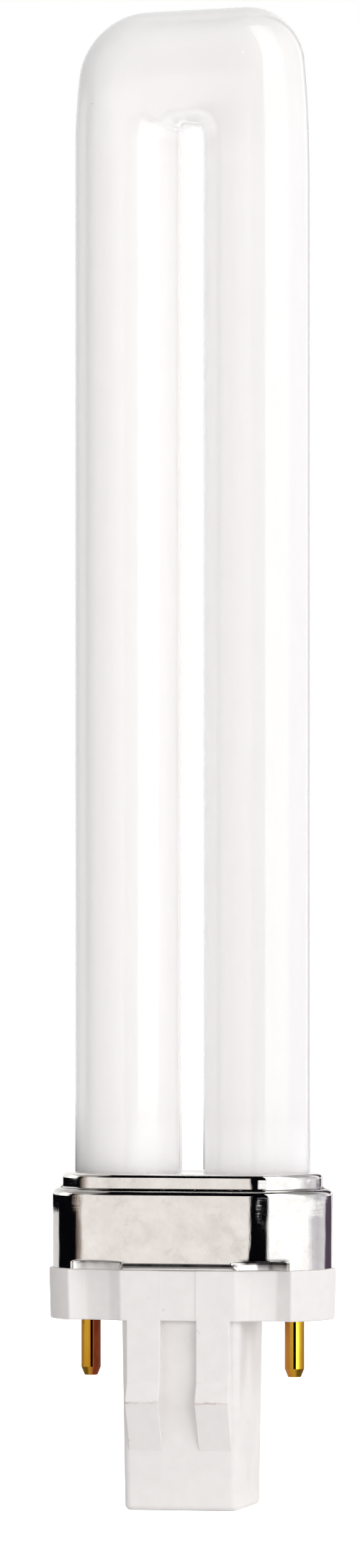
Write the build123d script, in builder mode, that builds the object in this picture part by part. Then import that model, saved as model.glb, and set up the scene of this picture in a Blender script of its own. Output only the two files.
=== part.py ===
from build123d import *
from math import radians, sin, tan
import os

# Sizes are in millimetres. +Z runs up the lamp to the bend of the tube, +X along the line of
# the pins, and the origin lies midway between the pins on the underside of the flange.

# Contact pins, at the standard spacing that sets the scale of everything else
pin_spacing = 23.0
pin_diameter = 2.1
pin_length = 6.0
pin_tip_length = 0.85
pin_tip_diameter = 1.4
pin_shank_diameter = 2.5
pin_rise = 0.6
pin_hole_clearance = 0.02

# Discharge tube: two round limbs joined by a moulded bend that is squarer on the right
limb_inset = 4.25
tube_diameter = 11.8
tube_reach = 128.9
limb_depth = 5.7
bend_excess = 1.6
bend_fall = 0.95
left_lean_height = 12.0
left_lean = 1.25
left_lean_radius = 57.0
left_corner_excess = 2.1
right_lean_height = 12.5
right_lean = 1.1
right_lean_radius = 126.0
right_corner_excess = 0.4
# The rounding of the tube stops this much short of a full half circle, so that it can be made
round_shortfall = 0.04
seal_width = 8.0
seal_thickness = 2.6
seal_height = 2.8

# Metal cap: a plan with end arcs round the limbs, stepped in to a collar at the top
collar_margin = 1.35
collar_height = 2.1
collar_edge = 0.3
skirt_step = 1.125
skirt_height = 8.4
shoulder_radius = 0.8
shoulder_slopes = 2
cap_wall = 0.35
limb_hole_clearance = 0.15

# Crimps that press the lowest part of the skirt into the notches of the flange
crimp_height = 0.7
crimp_corner_radius = 0.4
crimp_overrun = 3.0

# Flange of the moulding: a flat front and back, round ends, and four notches between them
flange_height = 5.6
flange_overhang = 0.42
flange_draft = 1.6
front_setback = 0.7
front_inset = 0.75
front_corner_radius = 0.6
front_recess = 0.1
notch_inner_depth = 1.85
notch_inner_offset = 0.65
notch_outer_depth = 2.9
notch_outer_offset = 3.5
notch_corner_radius = 0.4
lobe_angle = 53.0

# Stub below the flange, square and drawn in towards its end
stub_width = 13.4
stub_length = 20.9
stub_draft = 0.85
stub_corner_radius = 0.9
stub_edge_radius = 0.45
stub_floor = 1.3
pocket_width = 10.8
pocket_corner_radius = 1.0

# Ribs on the front and back of the stub, each ending in a snap catch
rib_inner = 2.03
rib_width = 3.75
rib_straight = 6.8
catch_drop = 8.9
catch_rise = 0.95
ramp_drop = 14.3

# Spigot that stands up inside the skirt, with windows for the crimps
spigot_height = 4.0
spigot_wall = 1.2
spigot_clearance = 0.1
window_margin = 0.6

# Cement round the limbs
cement_height = 4.6
cement_clearance = 0.05

# Starter bottle and capacitor side by side in the stub
bottle_diameter = 7.6
bottle_length = 14.6
inner_clearance = 0.1
press_width = 5.0
press_thickness = 2.2
press_height = 2.4
press_lead_spacing = 2.4
capacitor_width = 7.5
capacitor_thickness = 2.3
capacitor_height = 9.0
capacitor_edge_radius = 0.6
capacitor_lead_height = 1.0

# Wires
wire_diameter = 0.5
wire_drop = 0.7
limb_lead_spacing = 3.4

# Levels and half sizes that follow from the sizes above
pin_reach = pin_spacing / 2
half_spacing = pin_reach - limb_inset
limb_spacing = 2 * half_spacing
tube_radius = tube_diameter / 2
collar_depth = tube_diameter + 2 * collar_margin
skirt_depth = collar_depth + 2 * skirt_step
collar_top = flange_height + skirt_height + collar_height
limb_foot = collar_top - limb_depth
seal_foot = limb_foot - seal_height
wire_level = seal_foot - wire_drop
spigot_top = flange_height + spigot_height
pin_top = flange_height + pin_rise
flange_radius = skirt_depth / 2 + flange_overhang
front_half_depth = flange_radius - front_setback
rib_front = front_half_depth - flange_height * tan(radians(flange_draft))
ramp_foot = stub_width / 2 - ramp_drop * tan(radians(stub_draft))
pocket_floor = stub_floor - stub_length
inner_foot = pocket_floor + inner_clearance
bottle_middle = pocket_width / 2 - inner_clearance - bottle_diameter / 2
capacitor_middle = inner_clearance + capacitor_thickness / 2 - pocket_width / 2
press_top = inner_foot + bottle_length + press_height

# Corners of the notch on the right front quarter of the flange
lobe_corner = Vector(half_spacing, 0) + Vector(0, -flange_radius).rotate(Axis.Z, 90 - lobe_angle)
notch_outer_corner = Vector(half_spacing + notch_outer_offset, notch_outer_depth - flange_radius)
notch_inner_corner = Vector(half_spacing + notch_inner_offset, notch_inner_depth - flange_radius)
front_corner = Vector(half_spacing - front_inset, -front_half_depth)

# Discharge tube: its outline from the front, extruded, then rounded front and back
with BuildPart() as discharge_tube:
    half_width = half_spacing + tube_radius
    bend_top = collar_top + tube_reach
    left_shoulder = Vector(-half_width, bend_top - left_lean_height)
    left_corner = Vector(left_lean - half_width, bend_top - bend_fall)
    right_corner = Vector(half_width - right_lean, bend_top)
    right_shoulder = Vector(half_width, bend_top - right_lean_height)
    with BuildSketch(Plane.XZ) as tube_outline:
        with BuildLine():
            Polyline(
                (-half_width, limb_foot),
                left_shoulder,
                left_corner,
                right_corner,
                right_shoulder,
                (half_width, limb_foot),
                close=True,
            )
        make_face()
        for corner, radius in (
            (left_shoulder, left_lean_radius),
            (left_corner, tube_radius + left_corner_excess),
            (right_corner, tube_radius + right_corner_excess),
            (right_shoulder, right_lean_radius),
        ):
            fillet(tube_outline.vertices().sort_by_distance(corner)[0], radius)
    extrude(amount=tube_radius, both=True)
    slot_half_width = half_spacing - tube_radius
    slot_spring = bend_top - tube_diameter - bend_excess - slot_half_width
    with BuildSketch(Plane.XZ):
        with BuildLine():
            arch = CenterArc((0, slot_spring), slot_half_width, 0, 180)
            Polyline(arch @ 1, (-slot_half_width, limb_foot), (slot_half_width, limb_foot), arch @ 0)
        make_face()
    extrude(amount=tube_radius, both=True, mode=Mode.SUBTRACT)
    front_edges = discharge_tube.faces().sort_by(Axis.Y)[0].edges()
    back_edges = discharge_tube.faces().sort_by(Axis.Y)[-1].edges()
    foot_edges = discharge_tube.faces().filter_by(Axis.Z).edges()
    fillet(front_edges + back_edges - foot_edges, tube_radius - round_shortfall)
    with BuildSketch(Plane.XY.offset(limb_foot)):
        with Locations((-half_spacing, 0), (half_spacing, 0)):
            Rectangle(seal_width, seal_thickness)
    extrude(amount=-seal_height)
discharge_tube.part.label = "discharge_tube"


# The tools that press the crimps, grown by one wall for the inside of the metal
def crimp_tools(growth):
    front_end = notch_inner_corner + (front_corner - notch_inner_corner) * crimp_overrun
    lobe_end = notch_outer_corner + (lobe_corner - notch_outer_corner) * crimp_overrun
    with BuildPart() as tools:
        with BuildSketch(Plane.XY.offset(flange_height)) as plan:
            with BuildLine():
                Polyline(
                    front_end,
                    notch_inner_corner,
                    notch_outer_corner,
                    lobe_end,
                    (lobe_end.X, front_end.Y),
                    close=True,
                )
            make_face()
            for corner in (notch_inner_corner, notch_outer_corner):
                fillet(plan.vertices().sort_by_distance(corner)[0], crimp_corner_radius)
            offset(amount=growth, kind=Kind.INTERSECTION)
        extrude(amount=crimp_height + growth)
        mirror(about=Plane.YZ)
        mirror(about=Plane.XZ)
    return tools.part


# The form of the cap, smaller by the inset on every side but the open foot
def cap_form(inset):
    with BuildPart() as form:
        with BuildSketch(Plane.XY.offset(flange_height)):
            SlotCenterToCenter(limb_spacing, skirt_depth - 2 * inset)
        extrude(amount=skirt_height - shoulder_radius)
        for number in range(shoulder_slopes):
            foot_turn = 90 / shoulder_slopes * number
            head_turn = 90 / shoulder_slopes * (number + 1)
            rise = (shoulder_radius - inset) * (sin(radians(head_turn)) - sin(radians(foot_turn)))
            upper_face = form.faces().sort_by(Axis.Z)[-1]
            extrude(upper_face, amount=rise, taper=(foot_turn + head_turn) / 2)
        with BuildSketch(Plane.XY.offset(flange_height)):
            SlotCenterToCenter(limb_spacing, collar_depth - 2 * inset)
        extrude(amount=skirt_height + collar_height - inset)
        chamfer(form.faces().sort_by(Axis.Z)[-1].edges(), collar_edge)
        add(crimp_tools(inset), mode=Mode.SUBTRACT)
    return form.part


cap_outside = cap_form(0)
cap_inside = cap_form(cap_wall)

# Metal cap, drawn from one sheet and open below
with BuildPart() as metal_cap:
    add(cap_outside)
    add(cap_inside, mode=Mode.SUBTRACT)
    with BuildSketch(Plane.XY.offset(collar_top)):
        with Locations((-half_spacing, 0), (half_spacing, 0)):
            Circle(tube_radius + limb_hole_clearance)
    extrude(amount=-collar_height, mode=Mode.SUBTRACT)
metal_cap.part.label = "metal_cap"

# Cement that fills the collar round the limbs, up to the eased edge inside it
with BuildPart() as cement:
    with BuildSketch(Plane.XY.offset(collar_top - cap_wall - collar_edge)):
        SlotCenterToCenter(limb_spacing, collar_depth - 2 * (cap_wall + cement_clearance))
        with Locations((-half_spacing, 0), (half_spacing, 0)):
            Circle(tube_radius + cement_clearance, mode=Mode.SUBTRACT)
    extrude(amount=-cement_height)
cement.part.label = "cement"

# Ribs with their catches, seen from the side and extruded across
with BuildPart() as ribs:
    ramp_slope = (rib_front + catch_rise - ramp_foot) / (ramp_drop - catch_drop)
    with BuildSketch(Plane.YZ.offset(rib_inner)):
        with BuildLine():
            Polyline(
                (-pocket_width / 2, flange_height / 2),
                (-rib_front, flange_height / 2),
                (-rib_front, -rib_straight),
                (-rib_front - catch_rise, -catch_drop),
                (-pocket_width / 2, -ramp_drop - (ramp_foot - pocket_width / 2) / ramp_slope),
                close=True,
            )
        make_face()
    extrude(amount=rib_width)
    mirror(about=Plane.YZ)
    mirror(about=Plane.XZ)

# Base moulding: flange, stub, ribs and spigot in one
with BuildPart() as base_housing:
    with BuildSketch(Plane.XY.offset(flange_height)) as flange_plan:
        with BuildLine():
            Polyline(
                (0, -front_half_depth),
                front_corner,
                notch_inner_corner,
                notch_outer_corner,
                lobe_corner,
            )
            CenterArc((half_spacing, 0), flange_radius, -lobe_angle, lobe_angle)
            mirror(about=Plane.YZ)
            mirror(about=Plane.XZ)
        make_face()
        for corner, radius in (
            (front_corner, front_corner_radius),
            (notch_inner_corner, notch_corner_radius),
            (notch_outer_corner, notch_corner_radius),
            (lobe_corner, notch_corner_radius),
        ):
            for across, along in ((-1, -1), (-1, 1), (1, -1), (1, 1)):
                place = Vector(across * corner.X, along * corner.Y)
                fillet(flange_plan.vertices().sort_by_distance(place)[0], radius)
    extrude(amount=-flange_height, taper=flange_draft)
    with BuildSketch(Plane.XY):
        RectangleRounded(stub_width, stub_width, stub_corner_radius)
    extrude(amount=-stub_length, taper=stub_draft)
    fillet(base_housing.faces().sort_by(Axis.Z)[0].edges(), stub_edge_radius)
    add(ribs.part)
    with BuildSketch(Plane.YZ):
        with BuildLine():
            Polyline(
                (front_recess - front_half_depth, flange_height),
                (front_recess - rib_front, 0),
                (-flange_radius, 0),
                (-flange_radius, flange_height),
                close=True,
            )
        make_face()
        mirror(about=Plane.YZ)
    extrude(amount=rib_inner, both=True, mode=Mode.SUBTRACT)
    spigot_depth = skirt_depth - 2 * (cap_wall + spigot_clearance)
    with BuildSketch(Plane.XY.offset(flange_height)):
        SlotCenterToCenter(limb_spacing, spigot_depth)
        SlotCenterToCenter(limb_spacing, spigot_depth - 2 * spigot_wall, mode=Mode.SUBTRACT)
    extrude(amount=spigot_height)
    window_start = front_corner.X - window_margin
    window_end = lobe_corner.X + window_margin
    window_floor = -notch_outer_corner.Y - cap_wall - window_margin
    with BuildSketch(Plane.XY.offset(flange_height)):
        with GridLocations(window_start + window_end, window_floor + spigot_depth, 2, 2):
            Rectangle(window_end - window_start, spigot_depth - window_floor)
    extrude(amount=crimp_height + cap_wall + window_margin, mode=Mode.SUBTRACT)
    with BuildSketch(Plane.XY.offset(spigot_top)):
        RectangleRounded(pocket_width, pocket_width, pocket_corner_radius)
    extrude(amount=pocket_floor - spigot_top, mode=Mode.SUBTRACT)
    with BuildSketch(Plane.XY):
        with GridLocations(pin_spacing, pin_spacing, 2, 1):
            Circle(pin_shank_diameter / 2 + pin_hole_clearance)
    extrude(amount=flange_height, mode=Mode.SUBTRACT)
base_housing.part.label = "base_housing"

# Contact pins, with a thicker shank pressed through the flange
with BuildPart() as pin_right:
    with BuildSketch(Plane.XZ.move(Location((pin_reach, 0, 0)))):
        with BuildLine():
            Polyline(
                (0, -pin_length),
                (pin_tip_diameter / 2, -pin_length),
                (pin_diameter / 2, pin_tip_length - pin_length),
                (pin_diameter / 2, 0),
                (pin_shank_diameter / 2, 0),
                (pin_shank_diameter / 2, pin_top),
                (0, pin_top),
                close=True,
            )
        make_face()
    revolve(axis=Axis((pin_reach, 0, 0), (0, 0, 1)))
pin_right.part.label = "pin_right"

with BuildPart() as pin_left:
    mirror(pin_right.part, about=Plane.YZ)
pin_left.part.label = "pin_left"

# Starter bottle, standing at the back of the stub with its press at the top
with BuildPart() as starter:
    with BuildSketch(Plane.XY.offset(inner_foot)):
        with Locations((0, bottle_middle)):
            Circle(bottle_diameter / 2)
    extrude(amount=bottle_length)
    with BuildSketch(Plane.XY.offset(press_top)):
        with Locations((0, bottle_middle)):
            Rectangle(press_width, press_thickness)
    extrude(amount=-press_height)
starter.part.label = "starter"

# Capacitor at the front of the stub, with the two leads that join it to the starter wires
with BuildPart() as capacitor:
    with BuildSketch(Plane.XY.offset(inner_foot)):
        with Locations((0, capacitor_middle)):
            RectangleRounded(capacitor_width, capacitor_thickness, capacitor_edge_radius)
    extrude(amount=capacitor_height)
    for side in (-1, 1):
        with BuildLine(Plane.YZ.offset(side * press_lead_spacing / 2)) as lead:
            Polyline(
                (capacitor_middle, inner_foot + capacitor_height - wire_diameter),
                (capacitor_middle, press_top + capacitor_lead_height),
                (bottle_middle - wire_diameter / 2, press_top + capacitor_lead_height),
            )
        with BuildSketch(Plane(lead.line @ 0, z_dir=lead.line % 0)):
            Circle(wire_diameter / 2)
        sweep(path=lead.line, transition=Transition.RIGHT)
capacitor.part.label = "capacitor"

# Wires from the limbs, one of each pair to a pin and the other down to the starter
with BuildPart() as pin_wire_right:
    outer_lead = half_spacing + limb_lead_spacing / 2
    with BuildLine(Plane.XZ) as pin_route:
        Polyline(
            (outer_lead, seal_foot),
            (outer_lead, wire_level),
            (pin_reach, wire_level),
            (pin_reach, pin_top),
        )
    with BuildSketch(Plane(pin_route.line @ 0, z_dir=pin_route.line % 0)):
        Circle(wire_diameter / 2)
    sweep(path=pin_route.line, transition=Transition.RIGHT)
pin_wire_right.part.label = "pin_wire_right"

with BuildPart() as pin_wire_left:
    mirror(pin_wire_right.part, about=Plane.YZ)
pin_wire_left.part.label = "pin_wire_left"

with BuildPart() as starter_wire_right:
    inner_lead = half_spacing - limb_lead_spacing / 2
    with BuildLine() as starter_route:
        Polyline(
            (inner_lead, 0, seal_foot),
            (inner_lead, 0, wire_level),
            (press_lead_spacing / 2, bottle_middle, wire_level),
            (press_lead_spacing / 2, bottle_middle, press_top),
        )
    with BuildSketch(Plane(starter_route.line @ 0, z_dir=starter_route.line % 0)):
        Circle(wire_diameter / 2)
    sweep(path=starter_route.line, transition=Transition.RIGHT)
starter_wire_right.part.label = "starter_wire_right"

with BuildPart() as starter_wire_left:
    mirror(starter_wire_right.part, about=Plane.YZ)
starter_wire_left.part.label = "starter_wire_left"

os.makedirs("parts", exist_ok=True)
export_step(discharge_tube.part, "parts/discharge_tube.step")
export_step(metal_cap.part, "parts/metal_cap.step")
export_step(cement.part, "parts/cement.step")
export_step(base_housing.part, "parts/base_housing.step")
export_step(pin_left.part, "parts/pin_left.step")
export_step(pin_right.part, "parts/pin_right.step")
export_step(starter.part, "parts/starter.step")
export_step(capacitor.part, "parts/capacitor.step")
export_step(pin_wire_left.part, "parts/pin_wire_left.step")
export_step(pin_wire_right.part, "parts/pin_wire_right.step")
export_step(starter_wire_left.part, "parts/starter_wire_left.step")
export_step(starter_wire_right.part, "parts/starter_wire_right.step")
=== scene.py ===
import bmesh
import bpy
from math import copysign, cos, degrees, pi, radians, sin, tan
from mathutils import Matrix, Vector, geometry


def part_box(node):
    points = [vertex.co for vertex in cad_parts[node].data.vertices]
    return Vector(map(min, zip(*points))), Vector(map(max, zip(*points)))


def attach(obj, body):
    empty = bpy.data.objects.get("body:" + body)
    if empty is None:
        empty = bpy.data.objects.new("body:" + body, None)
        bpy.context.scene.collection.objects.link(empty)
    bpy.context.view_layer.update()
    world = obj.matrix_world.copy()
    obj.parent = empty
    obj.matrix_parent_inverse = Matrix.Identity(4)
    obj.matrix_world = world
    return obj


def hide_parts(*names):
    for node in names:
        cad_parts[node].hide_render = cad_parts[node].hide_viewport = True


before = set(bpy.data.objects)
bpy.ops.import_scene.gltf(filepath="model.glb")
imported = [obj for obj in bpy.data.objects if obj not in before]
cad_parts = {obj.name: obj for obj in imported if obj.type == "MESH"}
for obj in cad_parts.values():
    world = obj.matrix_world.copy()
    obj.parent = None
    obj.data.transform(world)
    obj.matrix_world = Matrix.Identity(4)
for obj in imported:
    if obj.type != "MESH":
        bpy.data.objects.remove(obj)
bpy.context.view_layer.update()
mm = 0.001
mergeDistance = 0.002 * mm
tolerance = 0.01 * mm
scene = bpy.context.scene
scene.view_settings.view_transform = "Standard"
print("frame loaded,", len(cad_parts), "nodes")


# mesh helpers

def finishPiece(name, bm, material, slotName, sharpAngle, *cadNodes):
    bmesh.ops.remove_doubles(bm, verts=bm.verts, dist=mergeDistance)
    bmesh.ops.recalc_face_normals(bm, faces=bm.faces)
    mesh = bpy.data.meshes.new(name)
    bm.to_mesh(mesh)
    bm.free()
    mesh.shade_smooth()
    mesh.set_sharp_from_angle(angle=radians(sharpAngle))
    mesh.materials.append(material)
    piece = bpy.data.objects.new(name, mesh)
    scene.collection.objects.link(piece)
    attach(piece, "root")
    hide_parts(*cadNodes)
    print(name, "made,", len(mesh.polygons), "faces")
    return piece


def bevel(bm, geom, size, steps, affect="EDGES"):
    bmesh.ops.bevel(bm, geom=geom, offset=size, offset_type="OFFSET", affect=affect,
                    segments=steps, profile=0.5, material=-1)


def vertsOf(geom):
    return [g for g in geom if isinstance(g, bmesh.types.BMVert)]


# material helpers, with places and heights in mm

def newMaterial(name):
    material = bpy.data.materials.new(name)
    material.use_nodes = True
    tree = material.node_tree
    return material, tree, tree.nodes["Principled BSDF"]


def addNode(tree, kind, **values):
    node = tree.nodes.new(kind)
    for key, value in values.items():
        if key in node.inputs:
            node.inputs[key].default_value = value
        else:
            setattr(node, key, value)
    return node


def link(tree, source, socket):
    tree.links.new(source, socket)


def setSockets(shader, values):
    for name, value in values.items():
        shader.inputs[name].default_value = value


def grey(level):
    return (level, level, level)


def noise(tree, scale, detail, stretch=(1, 1, 1), roughness=0.5):
    place = addNode(tree, "ShaderNodeTexCoord")
    mapping = addNode(tree, "ShaderNodeMapping")
    mapping.inputs["Scale"].default_value = stretch
    texture = addNode(tree, "ShaderNodeTexNoise", Scale=scale, Detail=detail, Roughness=roughness)
    link(tree, place.outputs["Object"], mapping.inputs["Vector"])
    link(tree, mapping.outputs["Vector"], texture.inputs["Vector"])
    return texture.outputs["Fac"]


def ramp(tree, source, *stops):
    node = addNode(tree, "ShaderNodeValToRGB")
    for _ in stops[2:]:
        node.color_ramp.elements.new(0.5)
    for element, (place, colour) in zip(node.color_ramp.elements, stops):
        element.position = place
        element.color = (*colour, 1)
    link(tree, source, node.inputs["Fac"])
    return node.outputs["Color"]


def spread(tree, source, low, high, fromLow=0.3, fromHigh=0.7):
    node = addNode(tree, "ShaderNodeMapRange")
    node.inputs["From Min"].default_value = fromLow
    node.inputs["From Max"].default_value = fromHigh
    node.inputs["To Min"].default_value = low
    node.inputs["To Max"].default_value = high
    link(tree, source, node.inputs["Value"])
    return node.outputs["Result"]


def calculate(tree, operation, first, second):
    node = addNode(tree, "ShaderNodeMath", operation=operation)
    link(tree, first, node.inputs[0])
    link(tree, second, node.inputs[1])
    return node.outputs["Value"]


def multiply(tree, first, second):
    return calculate(tree, "MULTIPLY", first, second)


def mixed(tree, factor, under, over):
    node = addNode(tree, "ShaderNodeMix", data_type="RGBA")
    link(tree, factor, node.inputs["Factor"])
    for value, socket in ((under, node.inputs[6]), (over, node.inputs[7])):
        if isinstance(value, tuple):
            socket.default_value = (*value, 1)
        else:
            link(tree, value, socket)
    return node.outputs[2]


def along(tree, axis):
    place = addNode(tree, "ShaderNodeTexCoord")
    parts = addNode(tree, "ShaderNodeSeparateXYZ")
    link(tree, place.outputs["Object"], parts.inputs["Vector"])
    return parts.outputs[axis]


def fade(tree, axis, low, high, start, end):    # from low to high between two places on an axis
    return spread(tree, along(tree, axis), low, high, start * mm, end * mm)


def band(tree, source, rise, top, fall, end):    # 1 between top and fall, 0 outside
    up = spread(tree, source, 0, 1, rise * mm, top * mm)
    down = spread(tree, source, 1, 0, fall * mm, end * mm)
    return multiply(tree, up, down)


def awayFrom(tree, place):
    here = addNode(tree, "ShaderNodeTexCoord")
    distance = addNode(tree, "ShaderNodeVectorMath", operation="DISTANCE")
    distance.inputs[1].default_value = [v * mm for v in place]
    link(tree, here.outputs["Object"], distance.inputs[0])
    return distance.outputs["Value"]


def nearTo(tree, place, full, gone):    # 1 within the first distance, 0 past the second
    return spread(tree, awayFrom(tree, place), 1, 0, full * mm, gone * mm)


def bump(tree, source, strength, height, under=None):
    node = addNode(tree, "ShaderNodeBump", Strength=strength, Distance=height * mm)
    link(tree, source, node.inputs["Height"])
    if under is not None:
        link(tree, under, node.inputs["Normal"])
    return node.outputs["Normal"]


# coated glass: white coat under clear glass, with painted light and shade across it, and a painted glow
# over the slot and near the cap

glassLook = {
    "halfWidth": 13.2,
    # colour of the coat by its share of the width, from left to right: painted light and shade, lighter on
    # the left and darker towards the right
    "limbLightAndShade": [(0.0, (0.99, 0.965, 0.95)), (0.08, (0.955, 0.935, 0.925)), (0.19, (0.88, 0.868, 0.86)),
                  (0.31, (0.875, 0.865, 0.858)), (0.42, (0.88, 0.872, 0.865)),
                  (0.58, (0.955, 0.945, 0.935)), (0.71, (0.855, 0.845, 0.838)),
                  (0.86, (0.795, 0.79, 0.785)), (1.0, (0.74, 0.73, 0.74))],
    "bendLightAndShade": [(0.0, (0.99, 0.97, 0.955)), (0.13, (0.975, 0.955, 0.945)), (0.35, (0.86, 0.85, 0.842)),
                  (0.50, (0.84, 0.83, 0.824)), (0.74, (0.79, 0.782, 0.776)), (1.0, (0.76, 0.755, 0.755))],
    "bendHeights": (128, 134),
    "glowPlace": (0.15, 0, 130.4),
    "glowReach": (5.6, 6.4),
    "glowHeights": (129.8, 131.6),
    "paintedLightTone": (0.99, 0.985, 0.98),
    "bendGlowStrength": 0.03,    # painted glow, standing in for light that passes through the bend
    "footGlow": 0.12,    # painted glow, standing in for light that the cap throws up
    "footHeights": (16.5, 22),
    "footSides": (-11, -5),
    "streakTone": (0.78, 0.765, 0.75),
    "specks": [((6.88, -5.9, 139.4), (1, 1, 1)), ((-10.2, -5.0, 134.0), (0.55, 0.50, 0.48)),
               ((-2.2, -5.6, 133.1), (0.6, 0.56, 0.54))],
    "speckReach": (0.06, 0.11),
    "sockets": {
        "Emission Color": (1, 1, 1, 1),
        "Subsurface Weight": 1.0,
        "Subsurface Radius": (1, 1, 1),
        "Subsurface Scale": 12 * mm,
        "Specular IOR Level": 0.0,
        "Coat Weight": 1.0,
        "Coat Roughness": 0.03,
        "Coat IOR": 1.5,
    },
}


def coatedGlass():
    material, tree, shader = newMaterial("coatedGlass")
    look = glassLook
    setSockets(shader, look["sockets"])
    across = fade(tree, "X", 0, 1, -look["halfWidth"], look["halfWidth"])
    # the coat's tones across the limbs and the bend are painted light and shade
    limbs = ramp(tree, across, *look["limbLightAndShade"])
    bend = ramp(tree, across, *look["bendLightAndShade"])
    colour = mixed(tree, fade(tree, "Z", 0, 1, *look["bendHeights"]), limbs, bend)
    # over the slot a lighter painted tone, painted light standing in for light through the bend
    glowMask = multiply(tree, nearTo(tree, look["glowPlace"], *look["glowReach"]),
                    fade(tree, "Z", 0, 1, *look["glowHeights"]))
    colour = mixed(tree, glowMask, colour, look["paintedLightTone"])
    streaks = spread(tree, noise(tree, 90, 3, (1, 1, 0.15)), 0.0, 0.05)
    colour = mixed(tree, streaks, colour, look["streakTone"])
    for place, tone in look["specks"]:
        colour = mixed(tree, nearTo(tree, place, *look["speckReach"]), colour, tone)
    link(tree, colour, shader.inputs["Base Color"])
    # painted glow over the slot: emission, though the glass is no lamp
    paintedBendGlow = spread(tree, glowMask, 0, look["bendGlowStrength"], 0, 1)
    # painted glow near the cap: emission standing in for light that the cap throws up
    paintedFootGlow = multiply(tree, fade(tree, "Z", look["footGlow"], 0, *look["footHeights"]),
                         fade(tree, "X", 0, 1, *look["footSides"]))
    link(tree, calculate(tree, "ADD", paintedFootGlow, paintedBendGlow), shader.inputs["Emission Strength"])
    link(tree, spread(tree, noise(tree, 400, 2), 0.42, 0.5), shader.inputs["Roughness"])
    wave = bump(tree, noise(tree, 60, 1, (1, 1, 0.1)), 0.05, 0.3)
    link(tree, wave, shader.inputs["Coat Normal"])
    return material


# drawn metal: bright sheet with smudges and dents, and painted dark reflections along its foot and at the
# crimps

metalLook = {
    "blotchTones": [(0.25, (0.72, 0.705, 0.685)), (0.7, (0.89, 0.875, 0.86))],
    "smudgeTone": (0.58, 0.56, 0.535),
    "collarFootDarkTone": (0.3, 0.29, 0.28),
    "paintedReflectionTone": (0.015, 0.012, 0.014),
    # across the front: where a painted dark reflection or a tab starts, is full, and ends
    "front": (-6.4, -6.0, 6.3, 6.8),
    "leftCrimp": (-12.4, -11.6, -8.3, -7.7),
    "leftTab": (-12.4, -11.6, -6.6, -6.3),
    "rightCrimp": (8.2, 8.8, 11.8, 12.4),
    "rightLip": (6.9, 7.6, 11.8, 12.4),
    # the same in height
    "collarFoot": (13.85, 14.2, 14.45, 14.6),
    "footLine": (5.97, 6.03, 6.27, 6.34),
    "lip": (6.2, 6.3, 6.5, 6.8),
    "crease": (6.2, 6.3, 6.66, 7.0),
    "tab": (5.4, 6.3, 6.36, 6.46),
    # painted dark reflections: place across, height, and how dark at least and at most
    "paintedReflections": [("front", "footLine", 0.85, 1.0), ("leftCrimp", "lip", 0.1, 0.4),
                  ("leftCrimp", "tab", 0.0, 0.12), ("rightLip", "crease", 0.85, 1.0),
                  ("rightCrimp", "tab", 0.75, 0.95)],
    "tabTop": (6.3, 6.45),
    "paleTabMetallic": 0.35,
    "dullRoughness": 0.35,
}


def drawnMetal():
    material, tree, shader = newMaterial("drawnMetal")
    look = metalLook
    side = along(tree, "X")
    height = along(tree, "Z")
    blotch = ramp(tree, noise(tree, 420, 5, roughness=0.65), *look["blotchTones"])
    smudges = spread(tree, noise(tree, 240, 5, roughness=0.7), 0, 0.58, 0.55, 0.71)
    colour = mixed(tree, smudges, blotch, look["smudgeTone"])
    # a darker streaky band along the foot of the collar
    collarFootDark = multiply(tree, band(tree, height, *look["collarFoot"]),
                     spread(tree, noise(tree, 1800, 4, (0.15, 0.15, 1)), 0.5, 0.95))
    colour = mixed(tree, collarFootDark, colour, look["collarFootDarkTone"])
    ragged = noise(tree, 900, 3, (1, 1, 0))
    # the dark lines along the foot and at the crimps are painted reflections
    for across, level, least, most in look["paintedReflections"]:
        darkReflection = multiply(tree, band(tree, side, *look[across]), band(tree, height, *look[level]))
        darkReflection = multiply(tree, darkReflection, spread(tree, ragged, least, most))
        colour = mixed(tree, darkReflection, colour, look["paintedReflectionTone"])
    link(tree, colour, shader.inputs["Base Color"])
    tabs = fade(tree, "Z", 1, 0, *look["tabTop"])    # the pressed tabs are dull; the left one's lower metallic shows its base colour as a painted pale reflection
    leftTab = multiply(tree, tabs, band(tree, side, *look["leftTab"]))
    rightTab = multiply(tree, tabs, band(tree, side, *look["rightCrimp"]))
    # lower metallic on the left tab: a painted pale reflection
    link(tree, spread(tree, leftTab, 1, look["paleTabMetallic"], 0, 1), shader.inputs["Metallic"])
    roughness = spread(tree, noise(tree, 500, 3), 0.02, 0.06)
    for tab in (leftTab, rightTab):
        roughness = mixed(tree, tab, roughness, grey(look["dullRoughness"]))
    link(tree, roughness, shader.inputs["Roughness"])
    scratches = bump(tree, noise(tree, 2500, 3, (0.05, 0.05, 1)), 0.3, 0.005)
    ripples = bump(tree, noise(tree, 1500, 3, (1, 1, 0.18)), 0.5, 0.02, scratches)
    dents = bump(tree, noise(tree, 170, 2, (1, 1, 0.6)), 0.5, 0.3, ripples)
    link(tree, dents, shader.inputs["Normal"])
    return material


# moulded plastic: satin, with specks and a ragged brown line on the crests of the catches, partly dirt
# smudges and partly painted shadow under the moulding flash

plasticLook = {
    "mottleTones": [(0.3, (0.815, 0.792, 0.782)), (0.7, (0.842, 0.822, 0.812))],
    "crestHeights": (-9.08, -8.95, -8.85, -8.78),
    "crestRagged": 0.12 * mm,
    "crestDepths": (6.9e-5, 7.4e-5),    # squared, so that front and back are alike
    "crestShadowAndDirtTone": (0.44, 0.33, 0.27),
    "speckTone": (0.45, 0.40, 0.36),
    "sockets": {"Specular IOR Level": 0.4},
}


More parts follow.
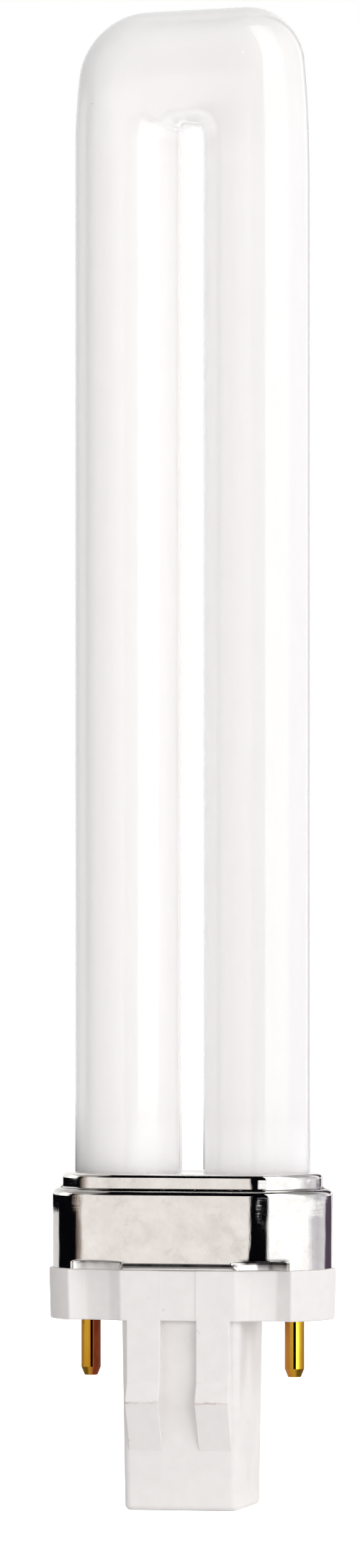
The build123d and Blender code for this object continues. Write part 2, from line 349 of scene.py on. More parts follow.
def mouldedPlastic():
    material, tree, shader = newMaterial("mouldedPlastic")
    look = plasticLook
    setSockets(shader, look["sockets"])
    colour = ramp(tree, noise(tree, 700, 4), *look["mottleTones"])
    ragged = spread(tree, noise(tree, 1600, 3), -look["crestRagged"], look["crestRagged"])
    height = calculate(tree, "ADD", along(tree, "Z"), ragged)
    depth = along(tree, "Y")
    # ragged brown line on the crests: dirt smudges and painted shadow under the flash
    crest = multiply(tree, band(tree, height, *look["crestHeights"]),
                     spread(tree, multiply(tree, depth, depth), 0, 1, *look["crestDepths"]))
    crest = multiply(tree, crest, spread(tree, noise(tree, 420, 2, (1, 0, 0)), 0.05, 0.6, 0.35, 0.65))
    colour = mixed(tree, crest, colour, look["crestShadowAndDirtTone"])
    specks = spread(tree, noise(tree, 1100, 2), 0, 0.5, 0.74, 0.8)
    link(tree, mixed(tree, specks, colour, look["speckTone"]), shader.inputs["Base Color"])
    link(tree, spread(tree, noise(tree, 350, 3), 0.38, 0.52), shader.inputs["Roughness"])
    grain = bump(tree, noise(tree, 4200, 3), 0.12, 0.02)
    link(tree, grain, shader.inputs["Normal"])
    return material


# bright brass: plain on the outer side of each pin, painted brown towards the stub as a painted reflection
# of the stub

brassLook = {
    "outerTones": [(0.3, (0.52, 0.27, 0.02)), (0.7, (0.62, 0.36, 0.04))],
    "brownTones": [(0.3, (0.30, 0.06, 0.022)), (0.7, (0.42, 0.10, 0.035))],
    "brownSides": (-5 * mm, 1 * mm),
    "rightPinShare": 0.55,
    "sockets": {"Metallic": 1.0},
}


def brightBrass():
    material, tree, shader = newMaterial("brightBrass")
    look = brassLook
    setSockets(shader, look["sockets"])
    outerSide = ramp(tree, noise(tree, 600, 4, (1, 1, 0.4)), *look["outerTones"])
    brown = ramp(tree, noise(tree, 900, 4, (1, 1, 0.4)), *look["brownTones"])
    place = addNode(tree, "ShaderNodeTexCoord")
    facing = addNode(tree, "ShaderNodeSeparateXYZ")
    link(tree, place.outputs["Normal"], facing.inputs["Vector"])
    outward = multiply(tree, along(tree, "X"), facing.outputs["X"])    # below 0 where it faces the stub
    # painted reflection of the stub: brown on the side facing it, weaker on the right pin
    stubReflection = multiply(tree, spread(tree, outward, 1.0, 0.0, *look["brownSides"]),
                       fade(tree, "X", 1.0, look["rightPinShare"], -1, 1))
    link(tree, mixed(tree, stubReflection, outerSide, brown), shader.inputs["Base Color"])
    link(tree, spread(tree, noise(tree, 900, 3), 0.03, 0.08), shader.inputs["Roughness"])
    turning = bump(tree, noise(tree, 2500, 2, (0.1, 0.1, 1)), 0.06, 0.02)
    link(tree, turning, shader.inputs["Normal"])
    return material


def plainFinish(name, dark, light, scale, roughness, metallic=0.0):
    material, tree, shader = newMaterial(name)
    setSockets(shader, {"Metallic": metallic})
    link(tree, ramp(tree, noise(tree, scale, 4), (0.3, dark), (0.7, light)), shader.inputs["Base Color"])
    uneven = spread(tree, noise(tree, scale * 1.7, 2), roughness - 0.06, roughness + 0.06)
    link(tree, uneven, shader.inputs["Roughness"])
    link(tree, bump(tree, noise(tree, scale * 3, 3), 0.2, 0.03), shader.inputs["Normal"])
    return material


# glass tube: rings along the U, each a circle pulled out to the depth of the bend

glassTube = {
    "reach": 128.9 * mm,
    "leftShoulderDrop": 12.0 * mm,
    "leftLean": 1.25 * mm,
    "leftFall": 0.95 * mm,
    "leftLeanRadius": 57 * mm,
    "leftCornerRadius": 8.0 * mm,
    "rightShoulderDrop": 12.5 * mm,
    "rightLean": 1.1 * mm,
    "rightLeanRadius": 126 * mm,
    "rightCornerRadius": 6.3 * mm,
    "bridgeDepth": 13.4 * mm,
    # turn round the bend in degrees, depth of the rounding in mm
    "innerRounds": [(0, 5.9), (18, 5.9), (90, 1.9), (141, 2.3), (157, 5.9), (180, 5.9)],
    "outerRounds": [(0, 5.9), (30, 5.9), (90, 4.6), (150, 5.9), (180, 5.9)],
    "slotSquare": 3.2,    # 2 would be a half circle
    "ringPoints": 74,
    "limbRings": 24,
    "archRings": 90,
    "cornerSteps": 24,
    "rayLength": 0.2,
    "rayTilt": 1e-6,    # keeps a level ray off the corners of the outline
    "sharpAngle": 50,
}


def roundedOutline(corners, arcSteps):
    bm = bmesh.new()
    for x, z, _ in corners:
        bm.verts.new((x, 0, z))
    bm.verts.ensure_lookup_table()
    bmesh.ops.contextual_create(bm, geom=bm.verts)
    places = [Vector((x, 0, z)) for x, z, _ in corners]
    for number, (_, _, radius) in enumerate(corners):
        if radius:
            back = (places[number - 1] - places[number]).normalized()
            ahead = (places[(number + 1) % len(places)] - places[number]).normalized()
            tangent = radius / tan(back.angle(ahead) / 2)
            corner = min(bm.verts, key=lambda v: (v.co - places[number]).length)
            bevel(bm, [corner], tangent, arcSteps, "VERTICES")
    edges = [tuple(Vector((v.co.x, v.co.z)) for v in e.verts) for e in bm.edges]
    bm.free()
    return edges


def outlineHit(edges, start, heading):
    far = start + heading * glassTube["rayLength"]
    hits = [geometry.intersect_line_line_2d(start, far, a, b) for a, b in edges]
    return max((h for h in hits if h), key=lambda h: (h - start).length)


def eased(steps, turn):
    for (fromTurn, fromSize), (toTurn, toSize) in zip(steps, steps[1:]):
        if turn <= toTurn:
            part = (turn - fromTurn) / (toTurn - fromTurn)
            return (fromSize + (toSize - fromSize) * part * part * (3 - 2 * part)) * mm
    return steps[-1][1] * mm


def tubeStations(outline, slotHalf, foot, spring):    # inner point, outer point and turn of each ring
    tube = glassTube
    tilt = tube["rayTilt"]
    power = tube["slotSquare"]
    stations = []
    for number in range(tube["limbRings"]):    # left limb, from its foot up
        inner = Vector((-slotHalf, foot + (spring - foot) * number / tube["limbRings"]))
        stations.append((inner, outlineHit(outline, inner, Vector((-1, tilt))), 180))
    middle = Vector((0, spring))
    for number in range(tube["archRings"] + 1):    # over the arch
        turn = pi - pi * number / tube["archRings"]
        heading = Vector((cos(turn), sin(turn)))
        square = (abs(heading.x) ** power + abs(heading.y) ** power) ** (-1 / power)
        inner = middle + heading * slotHalf * square
        stations.append((inner, outlineHit(outline, middle, heading), degrees(turn)))
    for number in range(tube["limbRings"]):    # right limb, down again
        z = spring + (foot - spring) * (number + 1) / tube["limbRings"]
        inner = Vector((slotHalf, max(z, foot + tolerance)))
        stations.append((inner, outlineHit(outline, inner, Vector((1, tilt))), 0))
    return stations


def tubeRing(bm, radius, inner, outer, turn):
    tube = glassTube
    middle = (inner + outer) / 2
    across = (outer - inner).normalized()
    reach = (outer - inner).length / 2
    innerRound = min(eased(tube["innerRounds"], turn), reach)
    outerRound = min(eased(tube["outerRounds"], turn), reach)
    centre = Vector((middle.x, 0, middle.y))
    sideways = Vector((across.x, 0, across.y))
    backward = Vector((0, 1, 0))
    turned = Matrix((sideways, backward, sideways.cross(backward))).transposed().to_4x4()
    ring = bmesh.ops.create_circle(bm, cap_ends=False, segments=tube["ringPoints"], radius=radius,
                                   matrix=Matrix.Translation(centre) @ turned)["verts"]
    for vert in ring:
        aside = (vert.co - centre).dot(sideways)
        depth = outerRound if aside > 0 else -innerRound
        end = reach if aside > 0 else -reach
        vert.co += sideways * (end - depth + abs(aside) / radius * depth - aside)
    return list({e for vert in ring for e in vert.link_edges})


def buildTube(material):
    tube = glassTube
    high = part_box("discharge_tube")[1]
    radius = high.y
    halfWidth = high.x
    slotHalf = halfWidth - 2 * radius
    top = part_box("metal_cap")[1].z + tube["reach"]
    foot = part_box("cement")[0].z
    outline = roundedOutline([
        (-halfWidth, foot, 0),
        (-halfWidth, top - tube["leftShoulderDrop"], tube["leftLeanRadius"]),
        (-halfWidth + tube["leftLean"], top - tube["leftFall"], tube["leftCornerRadius"]),
        (halfWidth - tube["rightLean"], top, tube["rightCornerRadius"]),
        (halfWidth, top - tube["rightShoulderDrop"], tube["rightLeanRadius"]),
        (halfWidth, foot, 0),
    ], tube["cornerSteps"])
    bm = bmesh.new()
    before = None
    for station in tubeStations(outline, slotHalf, foot, top - tube["bridgeDepth"] - slotHalf):
        edges = tubeRing(bm, radius, *station)
        if before:
            bmesh.ops.bridge_loops(bm, edges=before + edges)
        else:
            bmesh.ops.contextual_create(bm, geom=edges)
        before = edges
    bmesh.ops.contextual_create(bm, geom=before)
    return finishPiece("glassTube", bm, material, "coated_glass", tube["sharpAngle"], "discharge_tube")


# metal cap: rings round the slot-shaped plan, bridged from the collar down to the foot

metalCap = {
    "wall": 0.25 * mm,
    "collarRound": 0.55 * mm,
    "collarStep": 1.125 * mm,
    "collarHeight": 1.7 * mm,
    "collarSteps": 6,
    "collarFoot": [(0, 0.15), (0, 0.12), (0.04, 0.04), (0.12, 0), (0.15, 0)],    # out and up, mm
    "shoulderWidth": 0.95 * mm,
    "shoulderDrop": 0.75 * mm,
    "shoulderSteps": 10,
    "edgeRow": 0.03 * mm,    # a row this far past a rounding keeps its edge
    "footCurl": [(0.0, 0.86), (0.0, 0.77), (0.003, 0.74), (0.025, 0.6), (0.05, 0.48), (0.085, 0.37),
                 (0.135, 0.26), (0.2, 0.14), (0.27, 0.05), (0.33, 0.0)],    # in and up, mm
    "lobeStart": 9 * mm,
    "crimpHeight": 0.86 * mm,
    # rise in mm, share of the depth
    "crimpEdge": [(0.3, 0.0), (0.16, 0.002), (0.1, 0.007), (0.05, 0.02), (0.02, 0.035)],
    "crimpDepth": 0.05 * mm,
    "limbClearance": 0.12 * mm,
    "arcPoints": 254,
    "straightCuts": 90,
    "holePoints": 96,
    "sharpAngle": 40,
}

# plan of the notch on one quarter, from the flat front round to the end lobe
notchPlan = {
    "corners": [Vector((6.5, 8.095)) * mm, Vector((7.9, 6.945)) * mm, Vector((10.75, 5.895)) * mm,
                Vector((12.543, 7.024)) * mm],
    "softStep": 0.22 * mm,
    "softSteps": 4,
}


def notchLimit(x):
    def onLine(a, b, place):
        return a.y + (b.y - a.y) * (place - a.x) / (b.x - a.x)
    corners = notchPlan["corners"]
    steps = range(-notchPlan["softSteps"], notchPlan["softSteps"] + 1)
    nearby = [x + number * notchPlan["softStep"] for number in steps]
    limits = [max(onLine(a, b, place) for a, b in zip(corners, corners[1:])) for place in nearby]
    return sum(limits) / len(limits)    # averaged, so the pressed sheet has round corners


def slotRing(bm, halfSpacing, radius, z):
    known = set(bm.edges)
    circle = bmesh.ops.create_circle(bm, cap_ends=False, segments=metalCap["arcPoints"], radius=radius,
                                     matrix=Matrix.Translation((0, 0, z)))["verts"]
    for vert in circle:
        vert.co.x += halfSpacing if vert.co.x > 0 else -halfSpacing
    sides = [e for e in bm.edges if e not in known and e.calc_length() > halfSpacing]
    bmesh.ops.subdivide_edges(bm, edges=sides, cuts=metalCap["straightCuts"])
    return [e for e in bm.edges if e not in known]


def quarterRound(radius, top, width, drop, steps):
    turns = [pi / 2 * number / steps for number in range(steps + 1)]
    rows = [(radius - width * (1 - sin(turn)), top - drop * (1 - cos(turn)), 0) for turn in turns]
    return rows + [(radius, top - drop - metalCap["edgeRow"], 0)]


def pressSheet(edges, halfSpacing, straight, share):
    for vert in {v for e in edges for v in e.verts}:
        if abs(vert.co.x) > metalCap["lobeStart"]:    # the end lobes don't curl in
            middle = copysign(halfSpacing, vert.co.x)
            vert.co.x = middle + (vert.co.x - middle) * straight
            vert.co.y *= straight
        inset = abs(vert.co.y) - notchLimit(abs(vert.co.x)) + metalCap["crimpDepth"]
        if inset > 0 and abs(vert.co.x) > halfSpacing / 2:
            vert.co.y -= copysign(inset * share, vert.co.y)


def buildCap(material):
    cap = metalCap
    low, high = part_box("metal_cap")
    skirt = high.y
    halfSpacing = high.x - skirt
    collar = skirt - cap["collarStep"]
    step = high.z - cap["collarHeight"]
    crimpTop = low.z + cap["crimpHeight"]
    rows = quarterRound(collar, high.z, cap["collarRound"], cap["collarRound"], cap["collarSteps"])
    rows += [(collar + out * mm, step + up * mm, 0) for out, up in cap["collarFoot"]]
    rows += quarterRound(skirt, step, cap["shoulderWidth"], cap["shoulderDrop"], cap["shoulderSteps"])
    rows += [(skirt, crimpTop + rise * mm, share) for rise, share in cap["crimpEdge"]]
    rows += [(skirt - inset * mm, low.z + rise * mm, 1) for inset, rise in cap["footCurl"]]
    bm = bmesh.new()
    before = None
    for radius, z, share in rows:    # share of the crimps' depth
        edges = slotRing(bm, halfSpacing, radius, z)
        if share:
            pressSheet(edges, halfSpacing, skirt / radius, share)
        if before:
            bmesh.ops.bridge_loops(bm, edges=before + edges)
        else:
            topEdges = edges
        before = edges
    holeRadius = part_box("discharge_tube")[1].y + cap["limbClearance"]
    known = set(bm.edges)
    for side in (-1, 1):
        bmesh.ops.create_circle(bm, cap_ends=False, segments=cap["holePoints"], radius=holeRadius,
                                matrix=Matrix.Translation((side * halfSpacing, 0, high.z)))
    holes = [e for e in bm.edges if e not in known]
    bmesh.ops.triangle_fill(bm, use_beauty=True, use_dissolve=False, edges=topEdges + holes)
    piece = finishPiece("metalCap", bm, material, "cap_metal", cap["sharpAngle"], "metal_cap")
    solid = piece.modifiers.new("sheetThickness", "SOLIDIFY")
    solid.thickness = cap["wall"]
    solid.offset = -1
    return piece


# moulded base: flange, stub and four ribs in one piece

mouldedBase = {
    "flangeHeight": 5.6 * mm,
    "flangeDraft": 0.156 * mm,
    "recess": 0.1 * mm,
    "edgeRound": 0.18 * mm,
    "edgeSteps": 3,
    "cornerRound": 0.2 * mm,
    "cornerSteps": 5,
    "lobeAngle": 53,
    "lobeSteps": 20,
    "stubWidth": 13.4 * mm,
    "stubDraft": 0.31 * mm,
    "stubCorner": 0.9 * mm,
    "stubCornerSteps": 8,
    "stubEdge": 0.6 * mm,
    "stubEdgeSteps": 6,
    "overlap": 1 * mm,    # how far stub and ribs run up into the flange
    "ribInner": 2.03 * mm,
    "ribWidth": 3.75 * mm,
    "ribRoot": 5 * mm,
    "ribFront": 7.939 * mm,
    "ribStraight": 6.8 * mm,
    "catchDrop": 8.9 * mm,
    "catchRise": 0.95 * mm,
    "rampDrop": 14.3 * mm,
    "ribRound": 0.12 * mm,
    "ribSteps": 3,
    "sharpAngle": 40,
    "areaWeight": 100,    # large flat faces set the shading
    "areaThreshold": 1e-8,
}


def mirrored(bm, geom, axis):
    copy = bmesh.ops.duplicate(bm, geom=geom)["geom"]
    flip = Vector((-1 if axis == "X" else 1, -1 if axis == "Y" else 1, 1))
    bmesh.ops.scale(bm, vec=flip, verts=vertsOf(copy))
    bmesh.ops.reverse_faces(bm, faces=[g for g in copy if isinstance(g, bmesh.types.BMFace)])


def flangePlan(bm, z):
    base = mouldedBase
    corners = notchPlan["corners"]
    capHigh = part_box("metal_cap")[1]
    halfSpacing = capHigh.x - capHigh.y
    front = corners[0].y
    inner = base["ribInner"]
    chain = [Vector((inner, -front + base["recess"], z)), Vector((inner, -front, z))]
    chain += [Vector((corner.x, -corner.y, z)) for corner in corners]
    verts = [bm.verts.new(place) for place in chain]
    for pair in zip(verts, verts[1:]):
        bm.edges.new(pair)
    bmesh.ops.spin(bm, geom=[verts[-1]], cent=(halfSpacing, 0, z), axis=(0, 0, 1),
                   angle=radians(base["lobeAngle"]), steps=base["lobeSteps"], use_merge=False)
    mirrored(bm, bm.verts[:] + bm.edges[:], "Y")
    mirrored(bm, bm.verts[:] + bm.edges[:], "X")
    bmesh.ops.remove_doubles(bm, verts=bm.verts, dist=mergeDistance)
    ends = [v for v in bm.verts if len(v.link_edges) == 1]
    for side in (-1, 1):
        bm.edges.new([v for v in ends if v.co.y * side > 0])
    face = bmesh.ops.contextual_create(bm, geom=bm.edges[:])["faces"][0]

    def isCorner(vert):
        place = Vector((abs(vert.co.x), abs(vert.co.y)))
        return any((place - corner).length < tolerance for corner in corners)
    found = [v for v in face.verts if isCorner(v)]
    bevel(bm, found, base["cornerRound"], base["cornerSteps"], "VERTICES")
    return max(bm.faces, key=lambda f: f.calc_area())


def buildFlange():
    base = mouldedBase
    bm = bmesh.new()
    top = flangePlan(bm, base["flangeHeight"])
    lower = vertsOf(bmesh.ops.extrude_face_region(bm, geom=[top])["geom"])
    bmesh.ops.translate(bm, vec=(0, 0, -base["flangeHeight"]), verts=lower)
    reach = max(v.co.x for v in lower)
    depth = max(v.co.y for v in lower)
    draft = base["flangeDraft"]
    bmesh.ops.scale(bm, vec=(1 - draft / reach, 1 - draft / depth, 1), verts=lower)
    bmesh.ops.recalc_face_normals(bm, faces=bm.faces)
    rims = [e for e in bm.edges if abs(e.verts[0].co.z - e.verts[1].co.z) < tolerance]
    bevel(bm, rims, base["edgeRound"], base["edgeSteps"])
    return bm


def buildStub():
    base = mouldedBase
    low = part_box("base_housing")[0].z
    bm = bmesh.new()
    bmesh.ops.create_cube(bm, size=1)
    size = (base["stubWidth"], base["stubWidth"], base["overlap"] - low)
    bmesh.ops.scale(bm, vec=size, verts=bm.verts)
    bmesh.ops.translate(bm, vec=(0, 0, (low + base["overlap"]) / 2), verts=bm.verts)
    foot = [v for v in bm.verts if v.co.z < low / 2]
    taper = 1 - 2 * base["stubDraft"] / base["stubWidth"]
    bmesh.ops.scale(bm, vec=(taper, taper, 1), verts=foot)
    uprights = [e for e in bm.edges if e.verts[0].co.z * e.verts[1].co.z < 0]
    bevel(bm, uprights, base["stubCorner"], base["stubCornerSteps"])
    rim = [e for e in bm.edges if all(v.co.z < low + tolerance for v in e.verts)]
    bevel(bm, rim, base["stubEdge"], base["stubEdgeSteps"])
    return bm


def buildRibs():
    base = mouldedBase
    root = base["ribRoot"]
    front = base["ribFront"]
    crest = front + base["catchRise"]
    rampFoot = base["stubWidth"] / 2 + base["stubDraft"] * base["rampDrop"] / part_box("base_housing")[0].z
    slope = (crest - rampFoot) / (base["rampDrop"] - base["catchDrop"])
    bm = bmesh.new()
    for depth, z in ((root, base["overlap"]), (front, base["overlap"]), (front, -base["ribStraight"]),
                     (crest, -base["catchDrop"]), (root, -base["rampDrop"] - (rampFoot - root) / slope)):
        bm.verts.new((base["ribInner"], -depth, z))
    bmesh.ops.contextual_create(bm, geom=bm.verts[:])
    across = vertsOf(bmesh.ops.extrude_face_region(bm, geom=bm.faces[:])["geom"])
    bmesh.ops.translate(bm, vec=(base["ribWidth"], 0, 0), verts=across)
    bmesh.ops.recalc_face_normals(bm, faces=bm.faces)
    bevel(bm, bm.edges[:], base["ribRound"], base["ribSteps"])
    for axis in ("X", "Y"):
        mirrored(bm, bm.verts[:] + bm.edges[:] + bm.faces[:], axis)
    return bm


def joined(*parts):
    whole = bmesh.new()
    for part in parts:
        mesh = bpy.data.meshes.new("part")
        part.to_mesh(mesh)
        part.free()
        whole.from_mesh(mesh)
        bpy.data.meshes.remove(mesh)
    return whole


def buildBase(material):
    base = mouldedBase
    bm = joined(buildFlange(), buildStub(), buildRibs())
    piece = finishPiece("mouldedBase", bm, material, "base_plastic", base["sharpAngle"], "base_housing")
    flat = piece.modifiers.new("flatNormals", "WEIGHTED_NORMAL")
    flat.weight = base["areaWeight"]
    flat.thresh = base["areaThreshold"]
    flat.keep_sharp = True
    return piece


# contact pins: one profile spun round each pin's axis

contactPin = {
    "radius": 1.09 * mm,
    "longer": 0.4 * mm,
    "tipLength": 0.92 * mm,
    "tipRadius": 0.75 * mm,
    "tipRound": 0.08 * mm,
    "edgeRow": 0.04 * mm,
    "steps": 64,
    "sharpAngle": 18,
}


def buildPin(name, node, material):
    pin = contactPin
    low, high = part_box(node)
    centre = (low + high) / 2
    foot = low.z - pin["longer"]
    neck = foot + pin["tipLength"]
    radius = pin["radius"]
    tip = pin["tipRadius"]
    profile = [(0, foot), (tip - pin["tipRound"], foot), (tip, foot + pin["tipRound"]), (radius, neck),
               (radius, neck + pin["edgeRow"]), (radius, high.z), (0, high.z)]
    bm = bmesh.new()
    verts = [bm.verts.new((centre.x + r, centre.y, z)) for r, z in profile]
    edges = [bm.edges.new(pair) for pair in zip(verts, verts[1:])]
    bmesh.ops.spin(bm, geom=verts + edges, cent=centre, axis=(0, 0, 1), angle=2 * pi,
                   steps=pin["steps"], use_merge=True)
    return finishPiece(name, bm, material, "pin_brass", pin["sharpAngle"], node)


brass = brightBrass()
buildTube(coatedGlass())
buildCap(drawnMetal())
buildBase(mouldedPlastic())
buildPin("pinLeft", "pin_left", brass)
buildPin("pinRight", "pin_right", brass)

# inner pieces keep their CAD solids and get a finish
innerFinishes = {
    "cement": plainFinish("basingCement", (0.46, 0.41, 0.35), (0.60, 0.55, 0.49), 900, 0.85),
    "starter": plainFinish("starterGlass", (0.66, 0.68, 0.68), (0.76, 0.78, 0.78), 300, 0.12),
    "capacitor": plainFinish("dippedBody", (0.44, 0.15, 0.08), (0.58, 0.24, 0.13), 500, 0.5),
    "wire": plainFinish("drawnWire", (0.55, 0.53, 0.50), (0.68, 0.66, 0.63), 1500, 0.3, 1.0),
}
for name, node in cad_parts.items():
    for key, finish in innerFinishes.items():
        if key in name:
            node.data.materials.clear()
            node.data.materials.append(finish)
print("inner pieces finished")


# studio: floor, cards that only reflections see, lamps and camera

black = (0.002, 0.002, 0.003)
white = (1.0, 1.0, 1.0)
beige = (0.95, 0.905, 0.87)
brown = (0.4, 0.33, 0.28)
farGrey = (0.76, 0.75, 0.74)
dimLeft = (0.4, 0.38, 0.36)
dimRight = (0.09, 0.066, 0.1)
leftLight = (1.5, 1.45, 1.42)
skirtFront = [(-76, black), (-69, (0.3, 0.24, 0.2)), (-62, (0.98, 0.935, 0.9)),
              (-22, (0.97, 0.925, 0.89)), (-14, beige), (0.5, beige), (2.5, black), (28, black),
              (33, grey(1.3)), (92, grey(1.3)),
              (106, (0.74, 0.73, 0.76)), (116, (0.66, 0.64, 0.68)), (128, (0.75, 0.74, 0.77)),
              (136, (0.75, 0.74, 0.77)), (140, dimRight), (165, dimRight), (168, white), (180, farGrey)]
studio = {
    "floorSize": 60.0,
    "cardRadius": 0.28,
    "cardFoot": -20 * mm,
    "cardTop": 0.9,
    "cardPoints": 96,
    "pinCardRadius": 0.2,
    "pinCardTop": -9.6 * mm,
    "ceilingPoints": 48,
    "greyRadius": 0.22,
    "greyPoints": 64,
    "greyLift": 0.2 * mm,
    # colour by the share of the radius: painted floor shade seen in reflections, bright close in, darkest
    # just beyond and paler further out
    "greyTones": [(0.095, (0.85, 0.84, 0.83)), (0.125, (0.24, 0.235, 0.23)), (0.5, (0.42, 0.41, 0.4)),
                  (1.0, (0.66, 0.65, 0.64))],
    "flagSide": 15.8 * mm,
    "flagBehind": 25 * mm,
    "flagWidth": 9 * mm,
    "flagFoot": 17 * mm,
    "flagTop": 0.3,
    # what a reflection meets, by turn from the front in degrees
    "pinZones": [(-180, farGrey), (-100, (0.5, 0.4, 0.34)), (-66, beige), (0, beige), (3, black),
                 (32, black), (35, grey(5.5)), (50, grey(5.5)), (64, grey(2.6)), (80, grey(1.4)),
                 (100, grey(0.9)), (140, grey(0.4)), (180, farGrey)],
    "skirtZones": [(-180, farGrey), (-122, farGrey), (-117, black)] + skirtFront,
    "cornerZones": [(-180, black)] + skirtFront,
    "collarZones": [(-180, black), (-84, black), (-72, brown), (-62, beige), (0.5, beige), (2.5, black),
                    (12, black), (15, grey(1.25)), (125, grey(1.25)), (140, (0.8, 0.8, 0.82)),
                    (152, (0.5, 0.48, 0.52)), (156, dimRight), (165, dimRight), (168, white),
                    (176, white), (180, black)],
    "middleZones": [(-180, white), (-150, white), (-122, white), (-113, leftLight), (-98, leftLight),
                    (-88, black), (-82, black), (-72, brown), (-64, beige), (0.5, beige), (2.5, black),
                    (30, black), (32, grey(2.4)), (78, grey(2.4)), (90, white), (112, (0.72, 0.71, 0.74)),
                    (136, (0.6, 0.58, 0.62)), (148, white), (180, white)],
    "highZones": [(-180, white), (-150, white), (-120, farGrey), (-100, dimLeft), (-62, dimLeft),
                  (-50, black), (30, black), (32, grey(2.4)), (78, grey(2.4)), (90, grey(0.6)),
                  (136, grey(0.3)), (148, white), (180, white)],
    # heights in mm between which the next zones take over
    "zoneChanges": [("cornerZones", 0.6, 1.4), ("collarZones", 3.2, 4.0), ("middleZones", 8, 16),
                    ("highZones", 158, 168)],
    "lampColour": (1.0, 0.985, 0.98),
    # name, turn from the front, distance, height, height aimed at, width, length, power
    "lamps": [("keySoftbox", 62, 0.62, 0.2, 0.2, 0.63, 0.44, 1.72),
              ("frontSoftbox", 30, 1.0, 0.15, 0.1, 0.4, 0.5, 2.95),
              ("leftFill", -35, 0.9, 0.15, 0.1, 0.8, 0.6, 2.35),
              ("topSoftbox", 15, 0.2, 0.75, 0.14, 0.5, 0.5, 1.56),
              ("backdropGlow", 180, 0.6, 0.1, 0.08, 0.5, 0.4, 2.0),
              ("rightGlow", 130, 0.6, 0.05, 0.0, 0.4, 0.2, 1.65)],
    "cameraTurn": 12.0,
    "cameraDistance": 1.16,
    "cameraHeight": 59 * mm,
    "aimAside": 1.39 * mm,
    "lens": 241.0,
    "sensor": 36,
    "nearest": 0.05,
    "farthest": 200,
}


def emission(name, colour):
    material = bpy.data.materials.new(name)
    material.use_nodes = True
    tree = material.node_tree
    tree.nodes.remove(tree.nodes["Principled BSDF"])
    glow = addNode(tree, "ShaderNodeEmission", Strength=1.0)
    glow.inputs["Color"].default_value = (*colour, 1)
    link(tree, glow.outputs["Emission"], tree.nodes["Material Output"].inputs["Surface"])
    return material, tree, glow


def stageObject(name, bm, material):
    mesh = bpy.data.meshes.new(name)
    bm.to_mesh(mesh)
    bm.free()
    mesh.materials.append(material)
    obj = bpy.data.objects.new(name, mesh)
    scene.collection.objects.link(obj)
    return obj


def reflectedCard(name, bm, material):
    card = stageObject(name, bm, material)
    for rays in ("camera", "diffuse", "transmission", "volume_scatter", "shadow"):
        setattr(card, "visible_" + rays, False)


def zoneRamp(tree, around, zones):
    return ramp(tree, around, *[(turn / 360 + 0.5, colour) for turn, colour in studio[zones]])


def roundCard(name, radius, high, firstZones, changes):
    material, tree, glow = emission(name, black)
    place = addNode(tree, "ShaderNodeTexCoord")
    mapping = addNode(tree, "ShaderNodeMapping")
    mapping.inputs["Rotation"].default_value = (0, 0, radians(90))    # turn 0 faces -Y
    around = addNode(tree, "ShaderNodeTexGradient", gradient_type="RADIAL")
    link(tree, place.outputs["Object"], mapping.inputs["Vector"])
    link(tree, mapping.outputs["Vector"], around.inputs["Vector"])
    colour = zoneRamp(tree, around.outputs["Fac"], firstZones)
    for zones, start, end in changes:
        above = zoneRamp(tree, around.outputs["Fac"], zones)
        colour = mixed(tree, fade(tree, "Z", 0, 1, start, end), colour, above)
    link(tree, colour, glow.inputs["Color"])
    bm = bmesh.new()
    verts = [bm.verts.new((radius, 0, z)) for z in (studio["cardFoot"], high)]
    edge = bm.edges.new(verts)
    bmesh.ops.spin(bm, geom=verts + [edge], cent=(0, 0, 0), axis=(0, 0, 1), angle=2 * pi,
                   steps=studio["cardPoints"], use_merge=True)
    reflectedCard(name, bm, material)


def disc(radius, points, z):
    bm = bmesh.new()
    bmesh.ops.create_circle(bm, cap_ends=True, segments=points, radius=radius,
                            matrix=Matrix.Translation((0, 0, z)))
    return bm


def darkCeiling():
    bm = disc(studio["cardRadius"], studio["ceilingPoints"], studio["cardTop"])
    reflectedCard("darkCeiling", bm, emission("darkCeiling", black)[0])


# the grey card's tones are painted floor shade round the base, seen only in reflections
def greyCard():    # on the floor, so that the metal reads as metal from above too
    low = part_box("base_housing")[0].z + studio["greyLift"]
    radius = studio["greyRadius"]
    material, tree, glow = emission("greyCard", white)
    far = spread(tree, awayFrom(tree, (0, 0, low / mm)), 0, 1, 0, radius)
    link(tree, ramp(tree, far, *studio["greyTones"]), glow.inputs["Color"])
    reflectedCard("greyCard", disc(radius, studio["greyPoints"], low), material)


def darkFlag():    # seen by the right edge of the glass, not through the slot
    width = studio["flagWidth"]
    foot = studio["flagFoot"]
    top = studio["flagTop"]
    upright = Matrix.Rotation(radians(90), 4, "X")
    size = Matrix.Diagonal((width / 2, (top - foot) / 2, 1, 1))
    centre = (studio["flagSide"] + width / 2, studio["flagBehind"], (foot + top) / 2)
    bm = bmesh.new()
    bmesh.ops.create_grid(bm, x_segments=1, y_segments=1, size=1,
                          matrix=Matrix.Translation(centre) @ upright @ size)
    reflectedCard("darkFlag", bm, emission("darkFlag", dimRight)[0])


def seenRays(tree):    # 1 for what the camera sees directly, mirrored or through glass
    path = addNode(tree, "ShaderNodeLightPath")
    seen = path.outputs["Is Camera Ray"]
    for kind in ("Is Glossy Ray", "Is Transmission Ray"):
        seen = calculate(tree, "MAXIMUM", seen, path.outputs[kind])
    return seen


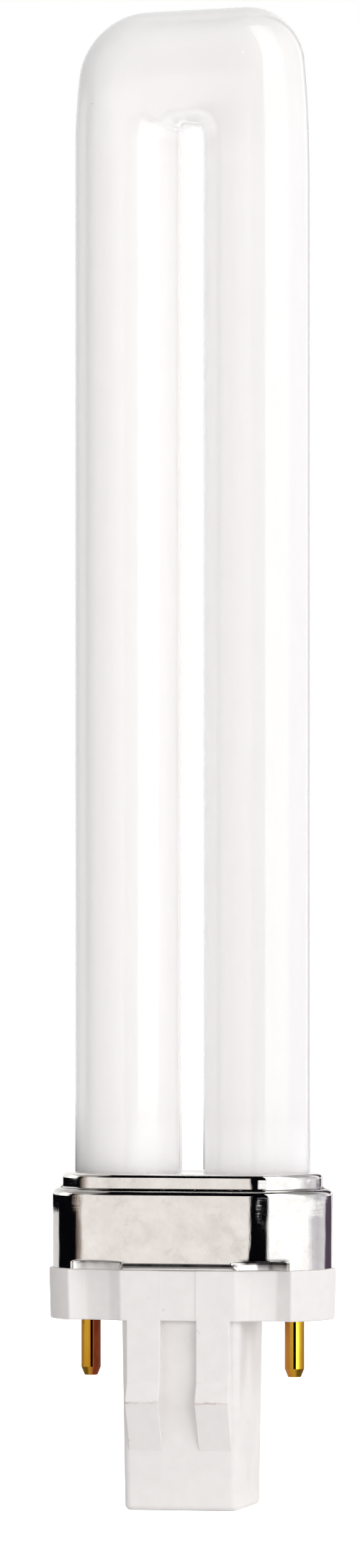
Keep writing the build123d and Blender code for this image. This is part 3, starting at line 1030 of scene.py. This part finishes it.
def paleFloor():
    material, tree, shader = newMaterial("paleFloor")
    setSockets(shader, {"Roughness": 0.9, "Specular IOR Level": 0.0, "Emission Color": (1, 1, 1, 1)})
    tone = ramp(tree, noise(tree, 3, 2), (0.3, grey(0.88)), (0.7, grey(0.9)))
    link(tree, tone, shader.inputs["Base Color"])
    link(tree, spread(tree, seenRays(tree), 0.0, 0.9, 0, 1), shader.inputs["Emission Strength"])
    bm = bmesh.new()
    bmesh.ops.create_grid(bm, x_segments=1, y_segments=1, size=studio["floorSize"],
                          matrix=Matrix.Translation((0, 0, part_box("base_housing")[0].z)))
    stageObject("paleFloor", bm, material)


def whiteWorld():
    world = bpy.data.worlds.new("studioWorld")
    scene.world = world
    world.use_nodes = True
    tree = world.node_tree
    back = tree.nodes["Background"]
    back.inputs["Color"].default_value = (1, 1, 1, 1)
    link(tree, spread(tree, seenRays(tree), 0.21, 1.0, 0, 1), back.inputs["Strength"])


def softbox(name, turn, distance, height, aim, width, length, power):
    lamp = bpy.data.lights.new(name, "AREA")
    lamp.shape = "RECTANGLE"
    lamp.size = width
    lamp.size_y = length
    lamp.energy = power
    lamp.color = studio["lampColour"]
    obj = bpy.data.objects.new(name, lamp)
    scene.collection.objects.link(obj)
    obj.location = Vector((sin(radians(turn)) * distance, -cos(radians(turn)) * distance, height))
    obj.rotation_euler = (Vector((0, 0, aim)) - obj.location).to_track_quat("-Z", "Z").to_euler()
    obj.visible_glossy = False    # reflections see the cards instead


def photoCamera():
    camera = bpy.data.cameras.new("photoCamera")
    camera.lens = studio["lens"]
    camera.sensor_width = studio["sensor"]
    camera.clip_start = studio["nearest"]
    camera.clip_end = studio["farthest"]
    obj = bpy.data.objects.new("photoCamera", camera)
    scene.collection.objects.link(obj)
    scene.camera = obj
    turn = radians(studio["cameraTurn"])
    right = Vector((cos(turn), sin(turn), 0))
    towards = Vector((sin(turn), -cos(turn), 0))
    aim = Vector((0, 0, studio["cameraHeight"])) - right * studio["aimAside"]
    obj.location = aim + towards * studio["cameraDistance"]
    obj.rotation_euler = (aim - obj.location).to_track_quat("-Z", "Y").to_euler()


whiteWorld()
paleFloor()
darkCeiling()
greyCard()
darkFlag()
roundCard("pinCard", studio["pinCardRadius"], studio["pinCardTop"], "pinZones", [])
roundCard("roundCard", studio["cardRadius"], studio["cardTop"], "skirtZones", studio["zoneChanges"])
print("floor and cards placed")
for lamp in studio["lamps"]:
    softbox(*lamp)
photoCamera()
print("lamps and camera set")
